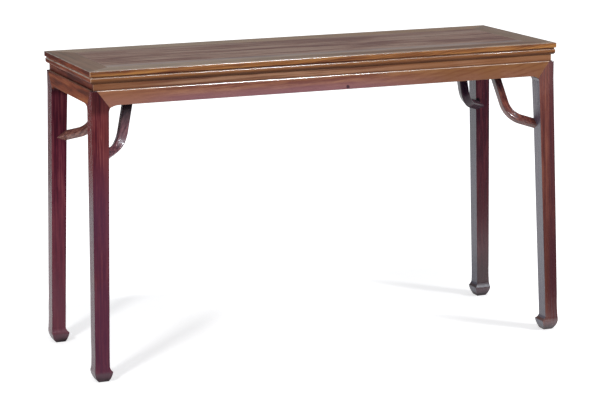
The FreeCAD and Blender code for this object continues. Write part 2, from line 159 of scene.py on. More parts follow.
# what all the woods' grain has in common: X runs along the tree, and patterns repeat so many
# times a metre along and across it
grainSet = {
    "drift": (1.6, 6.0, 6.0), "driftDetail": 3.0, "centre": (0.5, 0.5, 0.5),
    "heartStretch": (0.09, 1.0, 1.0),
    "heart": (0.0, 0.083, 0.061),         # from the board to the heart of the tree
    "ringStir": (2.0, 22.0, 22.0), "ringStirTurns": 1.6, "ringEdges": (-0.9, 1.0),
    "streakRun": 2.4, "streakDetail": 4.0, "streakRough": 0.65, "streakEdges": (0.3, 0.72),
    "cloudStretch": (0.14, 1.0, 1.0), "cloudDetail": 3.0, "cloudRough": 0.6,
    "cloudEdges": (0.34, 0.66),
    "fibre": (11.0, 620.0, 620.0), "fibreShare": 0.22, "fibreHeight": 0.35,
    "pore": (70.0, 1500.0, 1500.0), "poreDetail": 1.0, "poreEdges": (0.60, 0.70),
    "poreTone": 0.7, "poreRough": 0.15, "poreDepth": 0.8,
    "darkEdges": (0.08, 0.52), "lightEdges": (0.46, 0.95),
    "lightSheen": -0.12, "roughLift": 0.06, "streakHeight": 0.35,
}


def hardwoodGrain(values):
    tree, given, sink = newGroup("hardwoodGrain", [
        ("Vector", "Vector", None),
        ("Dark", "Color", tone(60, 30, 25)),
        ("Middle", "Color", tone(120, 66, 40)),
        ("Light", "Color", tone(160, 100, 60)),
        ("Rings", "Float", 60.0),         # growth rings per metre across the board
        ("Ring Share", "Float", 0.4),
        ("Streak Share", "Float", 0.45),
        ("Streaks", "Float", 74.0),       # streaks per metre across the board
        ("Band Width", "Float", 0.03),    # metres across the broad colour bands
        ("Contrast", "Float", 1.6),
        ("Waviness", "Float", 0.012),     # metres that the grain wanders
        ("Pores", "Float", 0.5),
        ("Gloss", "Float", 0.4),          # middle roughness
    ], [("Color", "Color"), ("Roughness", "Float"), ("Height", "Float")])
    point = given["Vector"]
    drift = noise(tree, scaled(tree, point, values["drift"]), values["driftDetail"])["Color"]
    drift = vectorCalc(tree, "SUBTRACT", drift, values["centre"])
    bent = vectorCalc(tree, "ADD", point, scaled(tree, drift, given["Waviness"]))
    # rings about a heart that lies outside the board
    heart = scaled(tree, bent, values["heartStretch"])
    heart = vectorCalc(tree, "ADD", heart, values["heart"])
    radius = vectorCalc(tree, "LENGTH", heart, result="Value")
    uneven = noise(tree, scaled(tree, bent, values["ringStir"]))["Fac"]
    turns = calc(tree, "MULTIPLY_ADD", radius, given["Rings"],
                 times(tree, uneven, values["ringStirTurns"]))
    wave = calc(tree, "SINE", times(tree, turns, 2 * math.pi))
    rings = ramp(tree, wave, *values["ringEdges"])
    fineness = addNode(tree, "ShaderNodeCombineXYZ", {
        "X": values["streakRun"], "Y": given["Streaks"], "Z": given["Streaks"]}).outputs[0]
    streaks = noise(tree, scaled(tree, bent, fineness), values["streakDetail"],
                    values["streakRough"])["Fac"]
    streaks = ramp(tree, streaks, *values["streakEdges"])
    broad = scaled(tree, bent, values["cloudStretch"])
    broad = vectorCalc(tree, "DIVIDE", broad, given["Band Width"])
    cloud = noise(tree, broad, values["cloudDetail"], values["cloudRough"])["Fac"]
    cloud = ramp(tree, cloud, *values["cloudEdges"])
    fibre = noise(tree, scaled(tree, point, values["fibre"]))["Fac"]
    pores = noise(tree, scaled(tree, point, values["pore"]), values["poreDetail"])["Fac"]
    pores = times(tree, ramp(tree, pores, *values["poreEdges"]), given["Pores"])
    # weights of rings, streaks and clouds add up to about one
    cloudShare = calc(tree, "ADD", given["Ring Share"], given["Streak Share"])
    cloudShare = calc(tree, "SUBTRACT", 1.0, cloudShare)
    level = calc(tree, "MULTIPLY_ADD", streaks, given["Streak Share"],
                 times(tree, cloud, cloudShare))
    level = calc(tree, "MULTIPLY_ADD", rings, given["Ring Share"], level)
    fibreShare = values["fibreShare"]
    level = calc(tree, "ADD", level,
                 calc(tree, "MULTIPLY_ADD", fibre, fibreShare, -fibreShare / 2))
    level = calc(tree, "MULTIPLY_ADD", calc(tree, "SUBTRACT", level, 0.5), given["Contrast"],
                 0.5, clamp=True)
    colour = mix(tree, ramp(tree, level, *values["darkEdges"]), given["Dark"], given["Middle"])
    colour = mix(tree, ramp(tree, level, *values["lightEdges"]), colour, given["Light"])
    colour = mix(tree, times(tree, pores, values["poreTone"]), colour, given["Dark"])
    roughness = calc(tree, "MULTIPLY_ADD", level, values["lightSheen"],
                     calc(tree, "ADD", given["Gloss"], values["roughLift"]))
    roughness = calc(tree, "MULTIPLY_ADD", pores, values["poreRough"], roughness)
    height = calc(tree, "MULTIPLY_ADD", fibre, values["fibreHeight"],
                  times(tree, streaks, values["streakHeight"]))
    height = calc(tree, "SUBTRACT", height, times(tree, pores, values["poreDepth"]))
    return finishGroup(tree, sink, Color=colour, Roughness=roughness, Height=height)


# dark, rope-like figure that crosses the board at a slant
figureSet = {
    "stir": (9.0, 14.0, 14.0), "stirReach": 0.055,
    "barEdges": (0.1, 0.95),
    "patches": (13.0, 50.0, 50.0), "patchEdges": (0.34, 0.56, 0.15, 1.0),
}


def slantFigure(values):
    tree, given, sink = newGroup("slantFigure", [
        ("Vector", "Vector", None),
        ("Spacing", "Float", 0.045),
        ("Lean", "Float", 3.4),           # run along the board per unit of height
        ("Low End", "Float", -0.2),       # where it starts to show along X
        ("High End", "Float", 0.25),      # where it is at its full strength
        ("Least", "Float", 0.3),
    ], [("Mask", "Float")])
    parts = split(tree, given["Vector"])
    bulk = calc(tree, "SUBTRACT", parts["Z"], parts["Y"])
    run = calc(tree, "SUBTRACT", parts["X"], times(tree, bulk, given["Lean"]))
    stir = noise(tree, scaled(tree, given["Vector"], values["stir"]))["Fac"]
    run = calc(tree, "MULTIPLY_ADD", stir, values["stirReach"], run)
    turns = calc(tree, "DIVIDE", run, given["Spacing"])
    bars = ramp(tree, calc(tree, "SINE", times(tree, turns, 2 * math.pi)), *values["barEdges"])
    patchy = noise(tree, scaled(tree, given["Vector"], values["patches"]))["Fac"]
    bars = times(tree, bars, ramp(tree, patchy, *values["patchEdges"]))
    shown = ramp(tree, parts["X"], given["Low End"], given["High End"], given["Least"], 1.0)
    return finishGroup(tree, sink, Mask=times(tree, bars, shown))


# rubbed arrises, painted paler partly as wear and partly as a painted highlight: a face counts as
# arris where its rounded and its straight normal part; roundings that face up can be painted
# paler too
edgeSet = {
    "samples": 6,
    "parting": (0.995, 0.80),
    "fall": (-0.35, -0.08),               # arrises that face down aren't rubbed
    "browLow": (0.2, 0.45), "browHigh": (0.98, 0.88),
    "brokenScale": 26.0, "brokenDetail": 3.0, "brokenEdges": (0.3, 0.6, 0.35, 1.0),
}


def rubbedEdgeAndHighlight(values):
    tree, given, sink = newGroup("rubbedEdgeAndHighlight", [
        ("Vector", "Vector", None), ("Reach", "Float", 0.0022), ("Amount", "Float", 0.6),
        ("Brow Highlight", "Float", 0.0),           # how much the roundings that face up are painted paler, as a painted highlight
    ], [("Mask", "Float"), ("Polish", "Float")])
    rounded = addNode(tree, "ShaderNodeBevel", {"Radius": given["Reach"]},
                      samples=values["samples"]).outputs[0]
    straight = addNode(tree, "ShaderNodeNewGeometry").outputs["Normal"]
    alike = vectorCalc(tree, "DOT_PRODUCT", rounded, straight, result="Value")
    fall = split(tree, rounded)["Z"]
    edge = times(tree, ramp(tree, alike, *values["parting"]), ramp(tree, fall, *values["fall"]))
    rise = split(tree, straight)["Z"]
    browHighlight = times(tree, ramp(tree, rise, *values["browLow"]),
                 ramp(tree, rise, *values["browHigh"]))
    polish = calc(tree, "MAXIMUM", edge, browHighlight)
    edge = calc(tree, "MAXIMUM", edge, times(tree, browHighlight, given["Brow Highlight"]))
    broken = noise(tree, given["Vector"], values["brokenDetail"], scale=values["brokenScale"])
    edge = times(tree, edge, ramp(tree, broken["Fac"], *values["brokenEdges"]))
    rubbedAndLit = times(tree, edge, given["Amount"], clamp=True)
    return finishGroup(tree, sink, Mask=rubbedAndLit, Polish=polish)


# painted shade in the corners and recesses, from ambient occlusion; it makes them rougher as well
cornerShadeSet = {
    "samples": 6,
    "openness": (0.85, 0.30),
    "brokenScale": 34.0, "brokenDetail": 3.0, "brokenEdges": (0.25, 0.6, 0.5, 1.0),
}


def cornerShade(values):
    tree, given, sink = newGroup("cornerShade", [
        ("Vector", "Vector", None), ("Reach", "Float", 0.012), ("Amount", "Float", 0.7),
    ], [("Mask", "Float")])
    openness = addNode(tree, "ShaderNodeAmbientOcclusion", {"Distance": given["Reach"]},
                       samples=values["samples"]).outputs["AO"]
    hidden = ramp(tree, openness, *values["openness"])
    broken = noise(tree, given["Vector"], values["brokenDetail"], scale=values["brokenScale"])
    hidden = times(tree, hidden, ramp(tree, broken["Fac"], *values["brokenEdges"]))
    return finishGroup(tree, sink, Mask=times(tree, hidden, given["Amount"], clamp=True))


# knots, cracks and other small marks: an ellipsoid about a centre, with a stirred outline
markSet = {"stirScale": 90.0, "centre": (0.5, 0.5, 0.5), "outline": (1.1, 0.5)}


def smallMark(values):
    tree, given, sink = newGroup("smallMark", [
        ("Vector", "Vector", None), ("Centre", "Vector", (0.0, 0.0, 0.0)),
        ("Radii", "Vector", (0.01, 0.01, 0.01)), ("Amount", "Float", 0.7),
    ], [("Mask", "Float")])
    stir = noise(tree, given["Vector"], scale=values["stirScale"])["Color"]
    stir = vectorCalc(tree, "SUBTRACT", stir, values["centre"])
    off = vectorCalc(tree, "SUBTRACT", given["Vector"], given["Centre"])
    off = vectorCalc(tree, "DIVIDE", off, given["Radii"])
    away = vectorCalc(tree, "LENGTH", vectorCalc(tree, "ADD", off, stir), result="Value")
    mask = times(tree, ramp(tree, away, *values["outline"]), given["Amount"])
    return finishGroup(tree, sink, Mask=mask)


grainGroup = hardwoodGrain(grainSet)
figureGroup = slantFigure(figureSet)
edgeGroup = rubbedEdgeAndHighlight(edgeSet)
cornerShadeGroup = cornerShade(cornerShadeSet)
markGroup = smallMark(markSet)
print("node groups built")

# how colour, wear and painted light lie on every piece, in metres
finishSet = {
    "patchScale": 7.0, "patchDetail": 3.0,
    "washPatches": (0.25, 0.55, 0.6, 1.0),
    "leftFace": (-0.8, -0.95),            # X of the normal of a face towards the left
    "levelFace": (0.9, 0.99),             # Z of the normal of a level face
    "fadeSheenRun": (-0.5, 0.4),               # from the left colour of the level faces' faded, painted sheen to the right one
    "fadeSheenPatches": (0.3, 0.7), "fadeSheenDip": (0.8, 0.8, 0.8),
    # painted sheen: a pale rim along the front edge and a fainter one at the panel's front seam
    "rimFront": (-0.208, -0.224), "rimBack": (-0.186, -0.168, 0.0, 0.5),
    "rimColour": (212, 184, 150),
    "mitreClear": (0.0015, 0.004),
    "browLeft": (-0.42, -0.06, 0.25, 1.0), "browRight": (0.60, 0.35, 0.3, 1.0),
    "browStep": 0.0005,
    "cornerShadeRough": 0.35,
    "ledgeTop": (0.075, 0.055), "ledgeFace": (0.1, 0.3), "ledgeRough": 0.3,
    "bumpDepth": 0.0004,
    "index": 1.5,
}


def washedColour(tree, colour, parts, patchy, washes):
    # each wash starts at one level of an axis and is full at the other
    for axis, start, full, wash, strength in washes:
        share = ramp(tree, parts[axis], start, full, 0.0, strength)
        share = times(tree, share, ramp(tree, patchy, *finishSet["washPatches"]))
        colour = mix(tree, share, colour, tone(*wash))
    return colour


def leftFaceReflectionColour(tree, colour, parts, facing, leftFaceReflection):
    # painted reflection: the face towards the left has a colour of its own above a level,
    # grey-blue for the sheen on the right legs, deep red where the left legs show little sheen
    shade, strength, start, full = leftFaceReflection
    share = times(tree, ramp(tree, facing["X"], *finishSet["leftFace"], 0.0, strength),
                  ramp(tree, parts["Z"], start, full))
    return mix(tree, share, colour, tone(*shade))


def fadedSheenColour(tree, colour, parts, facing, patchy, look):
    # level faces are paler and greyer, partly faded and partly a painted sheen, with a painted
    # sheen rim at the front
    fadedSheen = mix(tree, ramp(tree, parts["X"], *finishSet["fadeSheenRun"]),
                tone(*look["fadeSheenLeft"]), tone(*look["fadeSheenRight"]))
    if look["rim"]:
        rim = calc(tree, "MAXIMUM", ramp(tree, parts["Y"], *finishSet["rimFront"]),
                   ramp(tree, parts["Y"], *finishSet["rimBack"]))
        rim = times(tree, rim, look["rim"])
        fadedSheen = mix(tree, rim, fadedSheen, tone(*finishSet["rimColour"]))
    fadedSheen = mix(tree, ramp(tree, patchy, *finishSet["fadeSheenPatches"]),
                scaled(tree, fadedSheen, finishSet["fadeSheenDip"]), fadedSheen)
    share = ramp(tree, facing["Z"], *finishSet["levelFace"], 0.0, look["fadeAndSheen"])
    return mix(tree, share, colour, fadedSheen)


def figuredColour(tree, colour, place, figure):
    bars = placeGroup(tree, figureGroup, {
        "Vector": place, "Spacing": figure["spacing"], "Lean": figure["lean"],
        "Low End": figure["lowEnd"], "High End": figure["highEnd"], "Least": figure["least"]})
    share = times(tree, bars["Mask"], figure["strength"])
    return mix(tree, share, colour, tone(*figure["colour"]))


def wornAndLitEdges(tree, place, parts, look):
    edges = placeGroup(tree, edgeGroup, {
        "Vector": place, "Reach": look["rubAndHighlightReach"], "Amount": look["rubAndHighlight"], "Brow Highlight": look["browHighlight"]})
    rubbedAndLit, polish = edges["Mask"], 0.0
    if look["edgeCoat"]:
        polish = times(tree, edges["Polish"], look["edgeCoat"])
    if "mitre" in look:
        # the edges along the mitre of apron and leg stay as they are
        axis, outer, high, slope = look["mitre"]
        gap = calc(tree, "MULTIPLY_ADD", calc(tree, "SUBTRACT", high, parts["Z"]), -slope,
                   calc(tree, "SUBTRACT", outer, calc(tree, "ABSOLUTE", parts[axis])))
        clear = ramp(tree, calc(tree, "ABSOLUTE", gap), *finishSet["mitreClear"])
        rubbedAndLit = times(tree, rubbedAndLit, clear)
        polish = times(tree, polish, clear)
    if "dullBrow" in look:
        # below this height the rounding shines less towards the ends
        height = look["dullBrow"]
        shining = calc(tree, "MINIMUM", ramp(tree, parts["X"], *finishSet["browLeft"]),
                       ramp(tree, parts["X"], *finishSet["browRight"]))
        shining = calc(tree, "MAXIMUM", shining,
                       ramp(tree, parts["Z"], height, height + finishSet["browStep"]))
        polish = times(tree, polish, shining)
    return rubbedAndLit, polish


def woodMaterial(name, look):
    material = bpy.data.materials.new(name)
    material.use_nodes = True
    tree = material.node_tree
    tree.nodes.clear()
    place = addNode(tree, "ShaderNodeTexCoord").outputs["Object"]
    # the turn lays the grain's direction on X
    turn = Vector(look["grain"]).to_track_quat("X", "Z").inverted().to_euler("XYZ")
    turned = addNode(tree, "ShaderNodeMapping", {
        "Vector": place, "Location": look["start"], "Rotation": turn}).outputs[0]
    grain = placeGroup(tree, grainGroup, {
        "Vector": turned, "Dark": tone(*look["dark"]), "Middle": tone(*look["middle"]),
        "Light": tone(*look["light"]), "Rings": look["rings"], "Ring Share": look["ringShare"],
        "Streak Share": look["streakShare"], "Streaks": look["streaks"],
        "Band Width": look["bands"], "Contrast": look["contrast"],
        "Waviness": look["waviness"], "Pores": look["pores"], "Gloss": look["gloss"]})
    parts = split(tree, place)
    facing = split(tree, addNode(tree, "ShaderNodeNewGeometry").outputs["Normal"])
    patchy = noise(tree, turned, finishSet["patchDetail"], scale=finishSet["patchScale"])["Fac"]
    colour = washedColour(tree, grain["Color"], parts, patchy, look["washes"])
    if "leftFaceReflection" in look:
        colour = leftFaceReflectionColour(tree, colour, parts, facing, look["leftFaceReflection"])
    if look["fadeAndSheen"]:
        colour = fadedSheenColour(tree, colour, parts, facing, patchy, look)
    if "figure" in look:
        colour = figuredColour(tree, colour, place, look["figure"])
    for centre, radii, shade, strength in look["marks"]:
        mark = placeGroup(tree, markGroup, {
            "Vector": place, "Centre": centre, "Radii": radii, "Amount": strength})
        colour = mix(tree, mark["Mask"], colour, tone(*shade))
    # painted shade in corners and recesses
    paintedCornerShade = placeGroup(tree, cornerShadeGroup, {
        "Vector": place, "Reach": look["cornerShadeReach"], "Amount": look["paintedCornerShade"]})["Mask"]
    colour = mix(tree, paintedCornerShade, colour, tone(*look["cornerShadeColour"]))
    rubbedAndLit, polish = wornAndLitEdges(tree, place, parts, look)
    # rubbed arrises and upward roundings painted paler, partly wear and partly a painted
    # highlight
    colour = mix(tree, rubbedAndLit, colour, tone(*look["rubAndHighlightColour"]))
    roughness = calc(tree, "MULTIPLY_ADD", paintedCornerShade, finishSet["cornerShadeRough"], grain["Roughness"])
    roughness = calc(tree, "MULTIPLY_ADD", rubbedAndLit, -look["polish"], roughness, clamp=True)
    # the ledges above the hooves are dull
    ledge = times(tree, ramp(tree, parts["Z"], *finishSet["ledgeTop"]),
                  ramp(tree, facing["Z"], *finishSet["ledgeFace"]))
    roughness = calc(tree, "MULTIPLY_ADD", ledge, finishSet["ledgeRough"], roughness, clamp=True)
    bump = addNode(tree, "ShaderNodeBump", {
        "Height": grain["Height"], "Strength": look["bump"],
        "Distance": finishSet["bumpDepth"]}).outputs[0]
    shader = addNode(tree, "ShaderNodeBsdfPrincipled", {
        "Base Color": colour, "Roughness": roughness, "Normal": bump,
        "IOR": finishSet["index"], "Specular IOR Level": look["shine"],
        "Coat Weight": polish, "Coat Roughness": look["coatRough"]})
    addNode(tree, "ShaderNodeOutputMaterial", {"Surface": shader.outputs[0]})
    return material


# finishes: what a user would change for each kind of piece. Ease is how far the outer arrises
# and the other ones are eased, in metres
frameLook = {
    "dark": (90, 46, 22), "middle": (129, 82, 44), "light": (160, 110, 60),
    "rings": 55.0, "ringShare": 0.2, "streakShare": 0.46, "streaks": 110.0, "bands": 0.020,
    "contrast": 1.25, "waviness": 0.012, "pores": 0.5, "bump": 0.4,
    "gloss": 0.34, "shine": 0.24, "edgeCoat": 0.9, "coatRough": 0.18,
    # level faces: a painted sheen, partly fading, from its left colour to its right one; rim: a
    # painted sheen strip at the front
    "fadeAndSheen": 0.8, "fadeSheenLeft": (170, 146, 124), "fadeSheenRight": (114, 70, 38), "rim": 0.0,
    # painted shade in corners: amount, reach and colour
    "paintedCornerShade": 0.9, "cornerShadeReach": 0.008, "cornerShadeColour": (34, 16, 12),
    # rubbed arrises painted paler, partly wear and partly a painted highlight; the brow amount
    # paints upward roundings paler as a painted highlight
    "rubAndHighlight": 0.9, "rubAndHighlightReach": 0.0030, "rubAndHighlightColour": (196, 160, 130), "browHighlight": 0.3, "polish": 0.10,
    "washes": [], "marks": [],
    "ease": (0.0015, 0.0004),
}
endLook = dict(
    frameLook, dark=(84, 28, 10), middle=(138, 62, 26), light=(170, 92, 42), gloss=0.46,
    shine=0.11, fadeAndSheen=0.75, fadeSheenLeft=(142, 126, 110), rubAndHighlightColour=(226, 212, 196), browHighlight=1.0)
panelLook = dict(
    frameLook, dark=(98, 54, 38), middle=(139, 94, 72), light=(167, 130, 106), rings=30.0,
    ringShare=0.14, streaks=84.0, bands=0.036, contrast=2.3, shine=0.27, rubAndHighlight=0.3, browHighlight=0.0,
    edgeCoat=0.0, rubAndHighlightColour=(170, 150, 136), cornerShadeColour=(66, 44, 36), paintedCornerShade=0.5, fadeAndSheen=0.0,
    ease=(0.0, 0.0006))
apronLook = dict(
    frameLook, dark=(102, 56, 40), middle=(130, 84, 60), light=(150, 106, 74), rings=42.0,
    ringShare=0.12, streakShare=0.5, contrast=1.5, bands=0.016, shine=0.28,
    rubAndHighlightColour=(200, 168, 144), browHighlight=1.0, ease=(0.0, 0.0005))
waistLook = dict(
    frameLook, dark=(100, 62, 46), middle=(122, 84, 62), light=(146, 108, 84), rubAndHighlight=0.3,
    browHighlight=0.0, edgeCoat=0.0, contrast=1.9, streakShare=0.56, streaks=150.0, cornerShadeReach=0.006,
    ease=(0.0, 0.0005))
legLook = dict(
    frameLook, dark=(62, 20, 30), middle=(90, 36, 42), light=(120, 62, 60), rings=110.0,
    ringShare=0.14, streakShare=0.62, streaks=210.0, bands=0.010, waviness=0.008, gloss=0.24,
    shine=0.30, edgeCoat=0.0, rubAndHighlight=0.3, browHighlight=0.0, rubAndHighlightColour=(132, 84, 80), cornerShadeReach=0.03,
    cornerShadeColour=(14, 4, 10), fadeAndSheen=0.3, fadeSheenLeft=(70, 44, 44), fadeSheenRight=(70, 44, 44),
    ease=(0.0008, 0.0008))
braceLook = dict(
    legLook, dark=(76, 32, 34), middle=(116, 62, 54), light=(148, 88, 72), gloss=0.2,
    shine=0.45, rubAndHighlight=0.25, edgeCoat=0.7, ease=(0.0, 0.0))
battenLook = dict(
    frameLook, dark=(88, 58, 38), middle=(120, 84, 56), light=(148, 108, 74), gloss=0.6,
    shine=0.3, rubAndHighlight=0.1, browHighlight=0.0, edgeCoat=0.0, paintedCornerShade=0.4, fadeAndSheen=0.0, polish=0.0,
    ease=(0.0, 0.0))

frontFigure = {"spacing": 0.040, "lean": 6.5, "lowEnd": -0.6, "highEnd": 0.35, "least": 0.25,
               "strength": 0.6, "colour": (78, 36, 16)}
apronFigure = {"spacing": 0.060, "lean": 4.0, "lowEnd": 0.1, "highEnd": 0.6, "least": 0.1,
               "strength": 0.55, "colour": (96, 50, 26)}

# mitres: axis, place of the outer corner on it, height of that corner, run per unit of fall
longMitre = ("X", 0.6905, 0.797, 1.13)
endMitre = ("Y", 0.2295, 0.797, 1.13)

# washes: axis, where one starts and where it is full, colour, strength
# painted shade in the groove below the upper band
grooveShade = ("Z", 0.8362, 0.8350, (60, 14, 4), 0.92)
lowerBand = ("Z", 0.8326, 0.8310, (138, 90, 50), 0.85)
# painted shade on the underside of the lower band
underBandShade = ("Z", 0.8262, 0.8222, (44, 18, 12), 0.72)
# painted sheen: paler and greyer towards the front of the panel
panelFrontSheen = ("Y", -0.118, -0.142, (166, 150, 142), 0.6)
panelBack = ("Y", 0.06, 0.16, (130, 92, 74), 0.5)
underRailShade = ("Z", 0.8165, 0.8225, (30, 14, 10), 0.85)      # painted shade under the frame
waistRightPart = ("X", -0.05, 0.35, (126, 80, 46), 0.65)
waistLeftPart = ("X", -0.45, -0.6, (120, 74, 44), 0.7)
# painted sheen: purple towards the foot of the apron
apronFootSheen = ("Z", 0.794, 0.760, (126, 86, 94), 0.8)
apronLeftPart = ("X", -0.40, -0.60, (140, 92, 62), 0.6)
apronRightPart = ("X", 0.0, 0.45, (116, 74, 36), 0.85)
# painted shade on the braces' tops under the apron
underApronShade = ("Z", 0.66, 0.735, (18, 6, 24), 0.94)
# painted shade on the legs just under the apron
underCornerShade = ("Z", 0.722, 0.745, (18, 4, 10), 0.6)
soleWear = ("Z", 0.032, 0.022, (92, 76, 82), 0.7)

# marks: centre, radii, colour, strength
apronKnot = ((0.0453, -0.23, 0.7637), (0.0060, 0.02, 0.0065), (48, 24, 36), 0.9)
cornerCrack = ((0.6685, -0.23, 0.757), (0.0014, 0.03, 0.036), (44, 16, 16), 0.8)
braceShade = ((0.651, 0.203, 0.6235), (0.018, 0.055, 0.012), (6, 4, 8), 0.98)

# the pieces: grain is the direction of the tree, start the piece's place in it, and the left-face
# entry the colour, strength, start and full height of the painted reflection on the face towards
# the left
pieces = {
    "frontRail": dict(
        frameLook, node="front_rail", slot="frame_wood", grain=(1.0, 0.0, 0.03),
        start=(0.3, 0.05, 0.1), figure=frontFigure, washes=[grooveShade, lowerBand, underBandShade],
        rim=0.8, browHighlight=0.2, dullBrow=0.834),
    "backRail": dict(
        frameLook, node="back_rail", slot="frame_wood", grain=(1.0, 0.0, -0.02),
        start=(1.7, 0.3, 0.2), fadeAndSheen=0.85, fadeSheenLeft=(176, 150, 124), fadeSheenRight=(164, 128, 94)),
    "leftEndRail": dict(
        endLook, node="left_end_rail", slot="frame_wood", grain=(0.0, 1.0, 0.02),
        start=(0.9, 0.4, 0.5)),
    "rightEndRail": dict(
        frameLook, node="right_end_rail", slot="frame_wood", grain=(0.0, 1.0, -0.02),
        start=(2.9, 0.2, 0.3), fadeSheenRight=(140, 112, 88)),
    "topPanel": dict(
        panelLook, node="top_panel", slot="panel_wood", grain=(1.0, 0.012, 0.0),
        start=(0.4, 0.1, 0.03), washes=[panelFrontSheen, panelBack]),
    "waistFront": dict(
        waistLook, node="waist_front", slot="waist_wood", grain=(1.0, 0.0, 0.02),
        start=(3.1, 0.2, 0.4), washes=[underRailShade, waistRightPart, waistLeftPart]),
    "waistBack": dict(
        waistLook, node="waist_back", slot="waist_wood", grain=(1.0, 0.0, 0.01),
        start=(4.3, 0.1, 0.2), washes=[underRailShade]),
    "waistLeft": dict(
        endLook, node="waist_left", slot="waist_wood", grain=(0.0, 1.0, 0.02),
        # the left waist's darker tones are painted shade: it lies in the shadow of the frame
        start=(5.2, 0.3, 0.1), dark=(60, 18, 14), middle=(102, 42, 26), light=(132, 64, 38),
        washes=[underRailShade], ease=waistLook["ease"]),
    "waistRight": dict(
        waistLook, node="waist_right", slot="waist_wood", grain=(0.0, 1.0, 0.02),
        start=(6.4, 0.2, 0.3), washes=[underRailShade]),
    "apronFront": dict(
        apronLook, node="apron_front", slot="apron_wood", grain=(1.0, 0.0, 0.045),
        start=(7.3, 0.1, 0.2), mitre=longMitre, figure=apronFigure,
        washes=[apronFootSheen, apronLeftPart, apronRightPart], marks=[apronKnot]),
    "apronBack": dict(
        apronLook, node="apron_back", slot="apron_wood", grain=(1.0, 0.0, -0.03),
        start=(8.6, 0.2, 0.1), mitre=longMitre),
    "apronLeft": dict(
        endLook, node="apron_left", slot="apron_wood", grain=(0.0, 1.0, 0.03),
        start=(9.1, 0.2, 0.3), mitre=endMitre, rubAndHighlight=0.4, browHighlight=0.3, rubAndHighlightColour=(190, 150, 126),
        edgeCoat=0.4, ease=apronLook["ease"]),
    "apronRight": dict(
        apronLook, node="apron_right", slot="apron_wood", grain=(0.0, 1.0, 0.02),
        start=(9.8, 0.4, 0.1), mitre=endMitre),
    "legFrontLeft": dict(
        legLook, node="leg_front_left", slot="leg_wood", grain=(0.02, 0.0, 1.0),
        start=(1.1, 0.5, 0.3), shine=0.11, leftFaceReflection=((124, 22, 26), 0.8, 0.45, 0.62),
        washes=[("X", -0.675, -0.652, (126, 66, 62), 0.5), ("Z", 0.70, 0.45, (84, 46, 66), 0.7),
                underCornerShade, soleWear]),
    "legFrontRight": dict(
        legLook, node="leg_front_right", slot="leg_wood", grain=(-0.015, 0.01, 1.0),
        start=(2.2, 0.1, 0.6), dark=(78, 36, 34), middle=(104, 56, 50), light=(128, 76, 62),
        shine=0.80, leftFaceReflection=((88, 88, 106), 0.8, -0.2, -0.1),
        washes=[("Z", 0.7, 0.1, (76, 36, 30), 0.65), ("X", 0.672, 0.684, (66, 30, 42), 0.7),
                soleWear],
        marks=[cornerCrack]),
    "legBackLeft": dict(
        legLook, node="leg_back_left", slot="leg_wood", grain=(0.01, -0.01, 1.0),
        start=(3.4, 0.6, 0.2), dark=(68, 22, 38), middle=(96, 38, 52), light=(120, 60, 66),
        shine=0.14, leftFaceReflection=((112, 40, 50), 0.6, 0.45, 0.62),
        washes=[("Z", 0.6, 0.1, (98, 54, 66), 0.75), underCornerShade, soleWear]),
    "legBackRight": dict(
        legLook, node="leg_back_right", slot="leg_wood", grain=(0.0, 0.02, 1.0),
        start=(4.6, 0.2, 0.1), dark=(46, 14, 28), middle=(70, 28, 40), light=(92, 46, 52),
        shine=0.50, leftFaceReflection=((76, 76, 94), 0.8, -0.2, -0.1),
        washes=[("Z", 0.6, 0.3, (72, 40, 44), 0.6), ("Z", 0.22, 0.08, (38, 16, 22), 0.8),
                underCornerShade, soleWear],
        marks=[braceShade]),
    "braceFrontLeft": dict(
        braceLook, node="brace_front_left", slot="brace_wood", grain=(0.45, 0.35, 0.8),
        start=(5.3, 0.1, 0.4), dark=(70, 34, 48), middle=(112, 66, 78), light=(140, 92, 98),
        washes=[underApronShade]),
    "braceFrontRight": dict(
        braceLook, node="brace_front_right", slot="brace_wood", grain=(-0.45, 0.35, 0.8),
        start=(6.1, 0.3, 0.2), washes=[underApronShade]),
    "braceBackLeft": dict(
        braceLook, node="brace_back_left", slot="brace_wood", grain=(0.45, -0.35, 0.8),
        start=(7.7, 0.2, 0.5), dark=(92, 52, 50), middle=(138, 90, 80), light=(172, 122, 104),
        washes=[underApronShade]),
    "braceBackRight": dict(
        braceLook, node="brace_back_right", slot="brace_wood", grain=(-0.45, -0.35, 0.8),
        start=(8.2, 0.5, 0.1), dark=(30, 10, 30), middle=(48, 22, 40), light=(72, 42, 54),
        shine=0.25, washes=[underApronShade]),
    "battenLeftOuter": dict(
        battenLook, node="batten_left_outer", slot="batten_wood", grain=(0.0, 1.0, 0.0),
        start=(0.2, 0.7, 0.1)),
    "battenRightOuter": dict(
        battenLook, node="batten_right_outer", slot="batten_wood", grain=(0.0, 1.0, 0.0),
        start=(1.2, 0.3, 0.1)),
    "battenLeftInner": dict(
        battenLook, node="batten_left_inner", slot="batten_wood", grain=(0.0, 1.0, 0.0),
        start=(2.2, 0.7, 0.3), ease=(0.0, 0.0006)),
    "battenRightInner": dict(
        battenLook, node="batten_right_inner", slot="batten_wood", grain=(0.0, 1.0, 0.0),
        start=(3.2, 0.5, 0.1), ease=(0.0, 0.0006)),
    "braceWedges": dict(
        battenLook, node="brace_wedges", slot="batten_wood", grain=(1.0, 0.0, 0.0),
        start=(4.2, 0.1, 0.6)),
    "bracePins": dict(
        battenLook, node="brace_pins", slot="batten_wood", grain=(0.0, 0.0, 1.0),
        start=(5.2, 0.2, 0.2)),
}

# how the pieces' meshes are made from the CAD ones
meshSet = {
    "mergeReach": 0.00001,
    "flatTurn": math.radians(0.6),
    "arrisTurn": math.radians(30),
    "smoothTurn": math.radians(38),
    "shortestArris": 0.012,
    "longArris": 0.3,
    "outerX": 0.685, "outerY": 0.2245,
    "easeSegments": 3,
    "flatWeight": 100,
}


